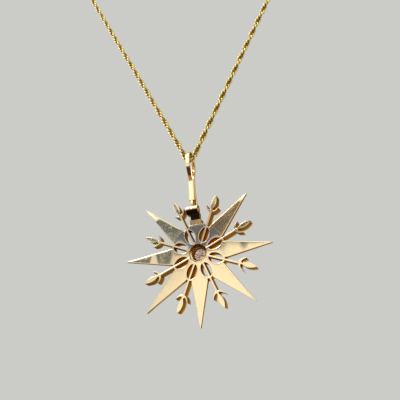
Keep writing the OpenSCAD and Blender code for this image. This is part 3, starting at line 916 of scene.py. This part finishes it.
height = middle_of_strip[:, 1]
near_side = np.arange(len(height)) < len(height) / 2
near_w = np.interp(height, [waist_h, loop_side_h, loop_side_h + 2], [waist_w, loop_w, arch_w])
far_w = np.interp(height, [knuckle_r, knuckle_r + 0.4, waist_h - 0.6, waist_h + 2],
                  [middle_len, far_arm_w, far_arm_w, arch_w])
strip_w = np.where(near_side, near_w, far_w)
points, faces = strip(middle_of_strip, strip_w, strip_t * strip_flat, strip_crown)
points[:, 0] += np.interp(points[:, 2], [waist_h, loop_side_h], [0.0, loop_off]) * (points[:, 1] < -0.1)
bail_shells = [(points + pin_place, faces)]
print("the strip is from", strip_w.min().round(2), "to", strip_w.max().round(2), "mm wide")

# %% [markdown]
# The shank is the widest part: a half-round bar whose top end is cut on a slant, where the near
# arm dips behind it. The same strip could be made wider there, but the step at its end would
# smear over several rows, so the shank is a shell of its own. A short neck joins it to the middle
# knuckle of the hinge.

# %% The shank and the whole bail
shank_w, shank_t, shank_slant, slant_from = 1.3, 0.52, 0.6, 1.2
shank_end, shank_shrink, shank_lean, shank_power = 0.05, 0.08, 0.03, 0.8
middle_play, neck_from, neck_to, neck_soft = 0.05, -0.24, 0.2, 0.07


def shank():
    """The half-round front of the shank: a closed D carried upward, its top end cut on a slant:
    height = h + slant x at the top, fading to none below."""
    top = waist_h - 0.35
    h = np.concatenate([butt_h + shank_end * corner_inset, np.linspace(butt_h + 0.07, butt_h + 0.2, 3),
                        np.linspace(butt_h + 0.4, top - 0.3, 20), np.linspace(top - 0.15, top - 0.02, 3),
                        top + shank_end * np.sin(corner_turn)])
    shrink = np.ones(len(h))
    shrink[:corner_steps + 1] -= shank_shrink * corner_drop
    shrink[-corner_steps - 1:] -= shank_shrink * corner_inset
    a = np.linspace(0, np.pi, 19)
    round_x, round_y = [-np.sign(w) * np.abs(w) ** shank_power for w in (np.cos(a), np.sin(a))]
    x = np.concatenate([round_x, np.linspace(1, -1, 7)[1:-1]]) * shank_w / 2
    y = np.concatenate([round_y * shank_t, np.zeros(5)])
    lean = shank_lean * (h - butt_h)
    sheet = np.stack([x * shrink[:, None], y * shrink[:, None] + lean[:, None] * (y < -0.1),
                      np.repeat(h[:, None], len(x), 1)], -1)
    sheet[..., 2] += shank_slant * sheet[..., 0] * np.clip((h - top) / slant_from + 1, 0, 1)[:, None]
    points, faces = shell(sheet)
    return points + pin_place, faces


neck = block(-0.4, 0.05, 0.35, butt_h + 0.2)
bail_shells += [shank(), knuckle(middle_len, 0, bore_r + middle_play),
                prism(neck, neck_from, neck_to, neck_soft)]
bail_piece = make_piece("bail_strip", bail_shells, bail_gold, "bail_body", "bail")

# %% [markdown]
# ## The line of the chain
# Worn, the loop hangs in two straight strands over the chest, leans back over the shoulders and
# closes behind the neck. It could be drawn as a free curve, but its length would then be a guess.
# The solid model builds it from straight lines and arcs of a known length, and the same lines are
# repeated here from the same sizes. Under the bail the real rope sags a little more.

# %% The chain's line, as in the solid model
loop_len, bend_r = 457.0, 1.1
v_half, lean_low, lean_high = np.radians(25.5), np.radians(7.4), np.radians(56.0)
front_len, turn_r = 60.0, 60.0
sag, sag_len = 0.45, 3.0
clasp_ring_d, clasp_ring_t, cap_len = 5.6, 1.2, 2.4
clasp_half = clasp_ring_d / 2 + cap_len
ring_r = ((loop_len + bend_r * (2 / np.tan(v_half) - np.pi + 2 * v_half))
          / (2 / np.tan(v_half) + np.pi + 2 * v_half))
bend_half = bend_r * (np.pi / 2 - v_half)
strand_from = bend_r / np.tan(v_half)
arc_half = ring_r * (np.pi / 2 + v_half)
arc_start = bend_half + ring_r / np.tan(v_half) - strand_from
rope_end = arc_start + arc_half - clasp_half
turn_end = front_len + turn_r * (lean_high - lean_low)


def flat_loop(s):
    """The loop laid flat, at a signed length s from the pendant: a small bend, a straight strand,
    then the large circle. Under the bail it sags by sag (1 - (s / sag_len)^2)^2. Gives places and
    directions as (sideways, up)."""
    side, l = np.sign(s) + (s == 0), np.abs(s)
    a = l / bend_r
    bend = np.stack([bend_r * np.sin(a), bend_r / np.sin(v_half) - bend_r * np.cos(a)], -1)
    t = (strand_from + l - bend_half)[:, None]
    straight = t * [np.sin(v_half), np.cos(v_half)]
    b = (l - arc_start) / ring_r - v_half
    arc = np.stack([ring_r * np.cos(b), ring_r / np.sin(v_half) + ring_r * np.sin(b)], -1)
    part = [(l < bend_half)[:, None], (l < arc_start)[:, None]]
    place = np.select(part, [bend, straight], arc)
    way = np.select(part, [np.stack([np.cos(a), np.sin(a)], -1),
                           np.broadcast_to([np.sin(v_half), np.cos(v_half)], place.shape)],
                    np.stack([-np.sin(b), np.cos(b)], -1))
    place[:, 0] *= side
    place[:, 1] -= sag * np.clip(1 - (l / sag_len) ** 2, 0, 1) ** 2
    way[:, 1] *= side
    return place, way


print("large circle", round(float(ring_r), 1), "mm, strands", round(float(arc_start - bend_half), 1), "mm")

# %% [markdown]
# The neck bends the flat loop: it leans back a little over the chest and much more over the
# shoulders. A curve or lattice modifier could bend the finished rope, but it would squeeze its
# links. Bending the line before any link is made keeps every link in its true size.

# %% The loop as worn
def loop_line(s):
    """Places, directions and the sheet's normal along the real loop: the flat one leans back by
    lean_low, turns over the shoulders on a circle and goes on at lean_high."""
    flat, way = flat_loop(s)
    h = flat[:, 1]
    lean = np.clip(lean_low + (h - front_len) / turn_r, lean_low, lean_high)
    front, rest = np.minimum(h, front_len), np.maximum(h - turn_end, 0)
    back = front * np.sin(lean_low) + turn_r * (np.cos(lean_low) - np.cos(lean)) + rest * np.sin(lean_high)
    rise = front * np.cos(lean_low) + turn_r * (np.sin(lean) - np.sin(lean_low)) + rest * np.cos(lean_high)
    point = np.stack([flat[:, 0], back, rise], -1)
    tangent = np.stack([way[:, 0], way[:, 1] * np.sin(lean), way[:, 1] * np.cos(lean)], -1)
    normal = np.stack([np.zeros_like(lean), -np.cos(lean), np.sin(lean)], -1)
    return point, tangent, normal


start = loop_line(np.zeros(1))[0][0]
line_shift = chain_place - start - [0, sag * np.sin(lean_low), sag * np.cos(lean_low)]
nape = loop_line(np.array([arc_start + arc_half]))[0][0] + line_shift
print("nape of the line at", nape.round(3), "mm; it should be at the origin")

# %% [markdown]
# ## Rope links
# A rope chain is hundreds of small rings, each put through its neighbours so that two strands wind
# round each other. A twisted tube with a bump would look like string. Here each strand is a row of
# real rings on a helix round the chain's line.

# %% The helix of a strand
twist_len, strand_out = 7.0, 0.235


def helix(s, strand):
    """Places on one strand, its direction there, the direction away from the rope's middle and
    the one beside both: place = line + out (cos p normal + sin p side), with
    p = 2 pi s / twist + pi strand."""
    point, tangent, normal = loop_line(s)
    side = np.cross(tangent, normal)
    p = (2 * np.pi * s / twist_len + np.pi * strand)[:, None]
    away = np.cos(p) * normal + np.sin(p) * side
    way = unit(tangent + strand_out * 2 * np.pi / twist_len * (np.cos(p) * side - np.sin(p) * normal))
    return point + strand_out * away + line_shift, way, away, np.cross(way, away)


print("the strands start", strand_out * 2, "mm apart and wind once in", twist_len, "mm")

# %% [markdown]
# One ring could be a torus copied hundreds of times, but hundreds of objects are slow. One array
# holds every ring of a strand, each only a few dozen faces, for most are finer than a pixel. A
# thin cord in each strand stands for the metal that fills the middle of a real rope.

# %% Rings and cores of the rope
link_out, link_side, wire_r, link_step, link_lean = 0.25, 0.43, 0.175, 0.68, np.radians(64)
link_turns, wire_turns, core_turns, core_r, core_step, core_short = 12, 5, 6, 0.17, 0.5, 0.1


def rope_rings(s, strand):
    """All rings of a strand at once. A ring is an ellipse leaned along the strand, and its wire is
    a small circle carried round it: centre + (a + q cos c) ring direction + q sin c axis. Gives
    the depth inside the rope too: (1 - cos u) / 2."""
    centre, way, away, beside = helix(s, strand)
    axis = np.cos(link_lean) * way + np.sin(link_lean) * beside
    other = np.cross(axis, away)
    u = np.linspace(0, 2 * np.pi, link_turns, endpoint=False)
    c = np.linspace(0, 2 * np.pi, wire_turns, endpoint=False) + np.pi / 4
    reach_out = (link_out + wire_r * np.cos(c)) * np.cos(u)[:, None]
    reach_side = (link_side + wire_r * np.cos(c)) * np.sin(u)[:, None]
    points = (centre[:, None, None] + reach_out[..., None] * away[:, None, None]
              + reach_side[..., None] * other[:, None, None]
              + (wire_r * np.sin(c))[:, None] * axis[:, None, None])
    one = sheet_faces(link_turns, wire_turns, round_rows=True)
    faces = (one[None] + link_turns * wire_turns * np.arange(len(s))[:, None, None]).reshape(-1, 4)
    depth = np.broadcast_to((1 - np.cos(u))[None, :, None] / 2, points.shape[:3])
    return points.reshape(-1, 3), faces.tolist(), depth.reshape(-1)


def rope_core(s, strand):
    """A thin cord inside a strand, which closes the gaps between its rings: a circle round each
    place, centre + core_r (cos c away + sin c beside)."""
    centre, _, away, beside = helix(s, strand)
    c = np.linspace(0, 2 * np.pi, core_turns, endpoint=False)[:, None]
    return shell(centre[:, None] + core_r * (np.cos(c) * away[:, None] + np.sin(c) * beside[:, None]))


print(int(2 * rope_end / link_step), "rings of", link_turns * wire_turns, "faces in each strand")

# %% [markdown]
# The chain is made in two halves, one on each side of the bail. One mesh would look the same, and
# two keep each of them light. The depth inside the rope is stored on every point, for the finish to
# read as painted shade.

# %% Both halves of the rope
def store(piece, name, values):
    """Keeps one number for each point of a mesh, for its finish to read."""
    layer = piece.data.attributes.new(name, "FLOAT", "POINT")
    layer.data.foreach_set("value", np.asarray(values, np.float32))


def make_rope(name, s_from, s_to):
    """Half of the chain: rings and cores of both strands in one mesh, with their depth stored for
    painted shade.
    """
    middles = np.arange(s_from + link_step / 2, s_to, link_step)
    core_s = np.linspace(s_from + core_short, s_to - core_short, int((s_to - s_from) / core_step))
    parts, depth = [], []
    for strand in (0, 1):
        points, faces, deep = rope_rings(middles + strand * link_step / 2, strand)
        core = rope_core(core_s, strand)
        parts += [(points, faces), core]
        depth += [deep, np.ones(len(core[0]))]
    piece = make_piece(name, parts, chain_gold, "necklace", "chain", sharp=180)
    store(piece, "wall", np.concatenate(depth))


make_rope("rope_left", -rope_end, 0.0)
make_rope("rope_right", 0.0, rope_end)

# %% [markdown]
# ## Where shade and dark reflections are painted
# A sawn wall faces sideways, and a face looks to the front or the reverse. So the walls' painted
# shade could be laid on one by one, but the direction of each point says the same: wall is a soft
# step of how far it turns from the front. How grey or brown a face's painted reflection is follows
# the angle round the star.

# %% Mark the walls' painted shade and the rays' painted dark reflection
face_angle = np.arange(0, 361, 22.5)
dark_reflection_there = [0.8, 1, 1, 0.8, 0.6, 0.4, 0.25, 0.1, 0, 0, 0, 0, 0.05, 0.3, 0.25, 0.3, 0.8]
brown_there = [0.4, 0, 0, 0, 0.1, 0.2, 0.2, 0, 0, 0, 0, 0, 0, 0.2, 1, 0.9, 0.4]
knuckles_from, front_from = 9.5, -0.4


def rows_of_three(values, name):
    """The points of a mesh, or their normals, as rows of three numbers."""
    out = np.zeros(len(values) * 3, np.float32)
    values.foreach_get(name, out)
    return out.reshape(-1, 3)


def soft_step(value, low, high):
    """0 below low, 1 above high, t^2 (3 - 2 t) between them."""
    t = np.clip((value - low) / (high - low), 0, 1)
    return t * t * (3 - 2 * t)


def mark(piece, low=0.55, high=0.9, painted_shade=None, dark_reflection_more=0, brown_more=0):
    """Stores wall, a soft step of 1 - |the normal's Y| from low to high, or twice what the shade rule
    gives where that is more, all painted shade; and how grey and how brown a face's painted
    reflection is, which follows the angle round the star."""
    normal = rows_of_three(piece.data.vertex_normals, "vector")
    place = rows_of_three(piece.data.vertices, "co") / MM
    off = place - star_place
    wall = soft_step(1 - np.abs(normal[:, 1]), low, high)
    if painted_shade is not None:
        wall = np.maximum(wall, 2 * painted_shade(place - pin_place, off, normal))
    store(piece, "wall", wall)
    angle = np.degrees(np.arctan2(-off[:, 0], off[:, 2])) % 360
    reverse = (off[:, 2] < knuckles_from) * (off[:, 1] < front_from)
    for name, there, more in (("dark_reflection", dark_reflection_there, dark_reflection_more), ("brown", brown_there, brown_more)):
        store(piece, name, np.clip(np.interp(angle, face_angle, there + np.asarray(more)), 0, 1) * reverse)


print("darkest_reflection at", face_angle[np.argmax(dark_reflection_there)], "degrees, brownest at",
      face_angle[np.argmax(brown_there)], "degrees")

# %% [markdown]
# Shade is painted where light hardly reaches: in the ovals, inside the collet and round it, under
# the knuckles, and where the bail's near arm dips, whose dark is a painted reflection. Blender's own
# dirt baking would find hollows by itself, but not which of them are black in the photograph. A
# rule for each piece says where it is and how dark: 0.5 is a sawn wall, 0.75 deep red gold, 1 black.

# %% Painted shade in the openings and under the knuckles
tab_brown, half_dark, deep_red, dip_black, near_black = 0.3, 0.6, 0.72, 0.92, 0.93


def oval_painted_shade(from_pin, off, normal):
    """Painted shade: the walls of the ovals are redder than the outer walls, and the tab is a
    little browner.
    """
    oval = deep_red * (np.hypot(off[:, 0], off[:, 2]) < 5.5) * (np.abs(normal[:, 1]) < 0.3)
    on_tab = (np.abs(off[:, 0]) < 1.6) * (off[:, 2] > arc_r - 0.2) * (np.abs(off[:, 1] + 0.5) < 0.35)
    return np.maximum(oval, tab_brown * on_tab)


def collet_painted_shade(from_pin, off, normal):
    """Painted shade inside the collet, in the groove round it and on the upper half of its bevel."""
    radius, depth = np.hypot(off[:, 0], off[:, 2]), off[:, 1]
    bore = deep_red * (radius < lip_r + 0.03) * (depth < girdle_z) * (depth > lip_z)
    groove = near_black * (radius > back_rim_r - 0.02) * (depth < 0) * (depth > -half_depth + 0.04)
    upper = soft_step(off[:, 2], -0.5, 0.8)
    bevel = near_black * (radius > lip_r - 0.02) * (depth < lip_z + 0.02) * upper
    return np.maximum(bore, np.maximum(groove, bevel))


def underside_shade(from_pin, normal):
    """Painted shade on the lower side of the knuckles."""
    return soft_step(-normal[:, 2], -0.02, 0.15) * (from_pin[:, 2] < 0.2) * (from_pin[:, 1] < 0.3)


def knuckle_painted_shade(from_pin, off, normal):
    """Painted shade on the undersides of the knuckles and down the yoke."""
    yoke = (from_pin[:, 2] < -0.45) * ((normal[:, 1] < -0.3) | (normal[:, 2] < -0.3))
    return np.maximum(underside_shade(from_pin, normal), yoke * (from_pin[:, 1] < 0.3))


def bail_painted_shade(from_pin, off, normal):
    """Painted dark reflection where the near arm dips to the shank, and painted shade on the knuckle
    and behind the shank.
    """
    height = from_pin[:, 2]
    black = soft_step(height, waist_h, waist_h + 0.5) * soft_step(loop_side_h - height, 0.1, 0.25)
    dark = (height > waist_h - 1) * (height < loop_side_h)
    dip = np.maximum(dip_black * black, half_dark * dark)
    dip = dip * soft_step(-normal[:, 2], 0.12, 0.3) * (normal[:, 1] < 0)
    behind = half_dark * (height < butt_h + 0.5) * (from_pin[:, 1] > 0.2) * (from_pin[:, 0] < 0.5)
    return np.maximum(dip, np.maximum(underside_shade(from_pin, normal), behind))


# Painted shade on the walls and in the hollows, and painted dark reflection on the upper rays, with more of
# it on the upper right bud.
upper_right_bud = face_angle == 292.5
mark(plate_piece, painted_shade=oval_painted_shade)
mark(buds_piece, painted_shade=oval_painted_shade, dark_reflection_more=0.6 * upper_right_bud, brown_more=0.5 * upper_right_bud)
mark(collet_piece, painted_shade=collet_painted_shade)
mark(hinge_piece, painted_shade=knuckle_painted_shade)
mark(bail_piece, 0.15, 0.38, painted_shade=bail_painted_shade)
mark(pin_piece)
marked = [plate_piece, buds_piece, collet_piece, hinge_piece, bail_piece, pin_piece]
print("marked:", [piece.name for piece in marked])

# %% [markdown]
# ## Clasp
# The clasp is at the nape and cannot be seen in the photograph. Two plain boxes would do for its
# place, but anyone who turns the model round sees it, so it is made as the usual kind: a spring
# ring between two end caps, all three of them turned shapes.

# %% Spring ring and end caps
cap_at = [0.0, 0.3, 0.8, -0.5, -0.3, -0.1, 0.0]
cap_radius = [0.30, 0.36, 0.56, 0.56, 0.60, 0.60, 0.52]


def clasp_shells():
    """A turned ring and two turned caps, laid in the upper sheet of the loop. A cap's heights are
    counted from its inner end for the first three and from its outer end for the others."""
    c = np.linspace(0, 2 * np.pi, 20, endpoint=False)
    wire = clasp_ring_t / 2
    wire_mid = clasp_ring_d / 2 - wire
    shells = [turned_shape(np.stack([wire_mid + wire * np.cos(c), wire * np.sin(c)], -1), 64)]
    cap_from, cap_to = wire_mid, clasp_half - 0.08
    height = np.array(cap_at) + np.repeat([cap_from, cap_to], [3, 4])
    drop = np.degrees(clasp_half / ring_r / 2)
    for side in (-1, 1):
        points, faces = rod(cap_radius, height * side, 28)
        shells.append((turned(points[:, [2, 0, 1]], -side * drop), faces))
    tilt = math.radians(90) - lean_high
    lay = np.array([[1, 0, 0], [0, math.cos(tilt), math.sin(tilt)], [0, -math.sin(tilt), math.cos(tilt)]])
    return [(points @ lay, faces) for points, faces in shells]


clasp_piece = make_piece("spring_ring", clasp_shells(), chain_gold, "necklace", "clasp")
store(clasp_piece, "wall", np.zeros(len(clasp_piece.data.vertices)))

# %% [markdown]
# ## Floor
# The pendant hangs in the air. A plain pale disc well below it gives the views from above a
# ground. It must not show as a bright spot in the gold, so polished metal doesn't see it.

# %% Floor
floor_r, floor_z, floor_y = 0.9, -0.30, -0.1


def make_floor():
    """A flat pale disc, not part of the pendant: radius (cos a, sin a) round a place below it."""
    a = np.linspace(0, 2 * np.pi, 96, endpoint=False)
    rim = np.stack([floor_r * np.cos(a), floor_r * np.sin(a) + floor_y, np.full(96, floor_z)], -1)
    mesh = bpy.data.meshes.new("floor")
    mesh.from_pydata(rim.tolist(), [], [list(range(96))])
    pale = Finish("pale_floor").surface({"Base Color": (0.72, 0.71, 0.69, 1), "Roughness": 0.9})
    mesh.materials.append(pale)
    floor = bpy.data.objects.new("floor", mesh)
    bpy.context.scene.collection.objects.link(floor)
    floor.visible_glossy = False


make_floor()
print("floor at", floor_z, "m")

# %% [markdown]
# ## Room light
# Polished metal shows what stands round it. Lamps alone would leave it black between their
# reflections, so the light is a soft room: bright at eye level and overhead, with a few dark
# things in it that the upper rays mirror, and dark below. The camera itself sees a plain pale
# backdrop.

# %% Room light
def room_light():
    """A world that is pale to the camera and, to everything else, a bright room with a few dark
    things in it. A patch has a middle and a half size in azimuth, the same in elevation, and the
    softness of its edges, all in degrees: a soft step of each distance from its middle."""
    world = bpy.data.worlds.new("studio")
    bpy.context.scene.world = world
    p = Paint(world)
    way = p.node("ShaderNodeTexCoord", out="Generated")
    x, y, z = (p.node("ShaderNodeSeparateXYZ", {}, {0: way}, out=i) for i in range(3))
    azimuth = p.node("ShaderNodeMath", {"operation": "ARCTAN2"}, {0: x, 1: y * -1.0}) * (180 / math.pi)
    elevation = p.node("ShaderNodeMath", {"operation": "ARCSINE"}, {0: z}) * (180 / math.pi)

    def patch(az, half_az, el, half_el, soft_az, soft_el):
        return (p.ramp(p.size(azimuth - az), half_az + soft_az, half_az - soft_az)
                * p.ramp(p.size(elevation - el), half_el + soft_el, half_el - soft_el))

    long_strip, shade = patch(-18, 34, 19.3, 2.4, 6, 0.6), patch(-25, 60, -31, 19, 15, 4) * 0.15
    behind, below = p.ramp(y, 0.62, 0.82) * p.ramp(y, 0.97, 0.93), p.ramp(elevation, -42, -58) * 0.9
    colour = (1.0, 0.99, 0.97)
    for share, dark in ((long_strip, (0.16, 0.19, 0.22)), (shade, (0.10, 0.07, 0.05)),
                        (behind, (0.30, 0.25, 0.20)), (below, (0.10, 0.09, 0.08))):
        colour = p.mix(share, colour, dark)
    # A window on each side, the ceiling, and a bright strip above the long dark one
    glow = (patch(-108, 26, 21, 18, 8, 6) + patch(56, 20, -35, 10, 8, 5) + p.ramp(elevation, 60, 75)
            + patch(-18, 24, 28.5, 4, 4, 1.5)) * 0.9
    room = p.node("ShaderNodeBackground", {}, {0: colour, 1: glow + 1.12})
    backdrop = p.node("ShaderNodeBackground", {}, {0: (0.60, 0.60, 0.58, 1), 1: 1.0})
    seen = p.node("ShaderNodeLightPath", out="Is Camera Ray")
    both = p.node("ShaderNodeMixShader", {}, {0: seen, 1: room, 2: backdrop})
    p.node("ShaderNodeOutputWorld", {}, {0: both})
    return world


print("room:", room_light().name)

# %% [markdown]
# A window would give the rounded edges fine white lines. A sun lamp could stand for it, but its
# glints are hard points. One large square lamp from the upper left gives a soft line on each edge.

# %% Key light
def soft_light(name, azimuth, elevation, distance, size, power, colour):
    """A square light at a direction from the star, turned toward it."""
    a, e = math.radians(azimuth), math.radians(elevation)
    way = Vector((math.sin(a) * math.cos(e), -math.cos(a) * math.cos(e), math.sin(e)))
    lamp = bpy.data.lights.new(name, "AREA")
    lamp.size, lamp.energy, lamp.color = size, power, colour
    light = bpy.data.objects.new(name, lamp)
    bpy.context.scene.collection.objects.link(light)
    light.location = Vector(star_place) * MM + way * distance
    light.rotation_euler = way.to_track_quat("Z", "Y").to_euler()


soft_light("key_light", -55, 55, 0.6, 0.30, 2.2, (1.0, 0.98, 0.95))
bpy.context.scene.view_settings.view_transform = "Standard"

# %% [markdown]
# ## The end
# The skin has to stay in the solid model's box.
